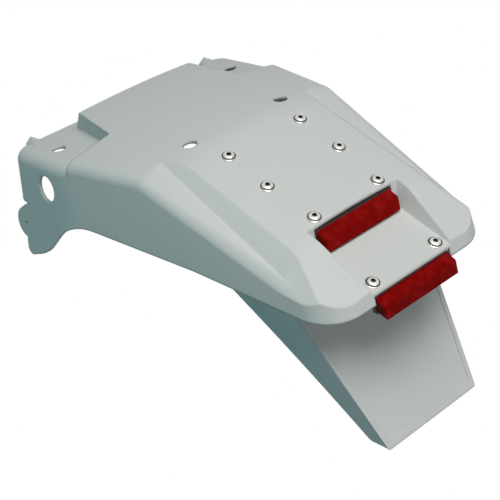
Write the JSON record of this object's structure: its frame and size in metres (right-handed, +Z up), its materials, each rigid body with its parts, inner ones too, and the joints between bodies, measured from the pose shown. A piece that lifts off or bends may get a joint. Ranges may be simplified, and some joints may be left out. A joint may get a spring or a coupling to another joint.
{
  "type": "motorcycle rear fender",
  "caption": "White moulded motorcycle tail with a raised centre panel, a lowered front ledge, red lamp bars and a tapered lower flap; it covers the rear wheel and carries the lamps.",
  "frame": {"origin": "middle of the fender's length and width, on the floor it stands on", "axes": "+X to the right seen from behind, +Y towards the motorcycle's front, +Z up; it stands on its two front lobes and the end of the flap"},
  "size_m": [0.304, 0.4552, 0.1822],
  "materials": {
    "shell_plastic": "satin moulded",
    "flap_plastic": "satin moulded",
    "red_lens": "gloss, clear red",
    "seal_rubber": "matt",
    "black_plastic": "fine texture",
    "board_laminate": "solder mask",
    "led_body": "gloss",
    "screw_steel": "turned",
    "washer_steel": "zinc plated",
    "nut_steel": "zinc plated"
  },
  "bodies": {
    "root": {"fender_shell": "shell_plastic", "lower_flap": "flap_plastic", "flap_screws": "screw_steel", "flap_washers": "washer_steel", "flap_nuts": "nut_steel", "upper_lamp_screws": "screw_steel", "upper_lamp_washers": "washer_steel", "upper_lamp_nuts": "nut_steel", "lower_lamp_screws": "screw_steel", "lower_lamp_washers": "washer_steel", "lower_lamp_nuts": "nut_steel", "upper_lamp_lens": "red_lens", "upper_lamp_gasket": "seal_rubber", "upper_lamp_housing": "black_plastic", "upper_lamp_board": "board_laminate", "upper_lamp_leds": "led_body", "lower_lamp_lens": "red_lens", "lower_lamp_gasket": "seal_rubber", "lower_lamp_housing": "black_plastic", "lower_lamp_board": "board_laminate", "lower_lamp_leds": "led_body"}
  },
  "joints": []
}
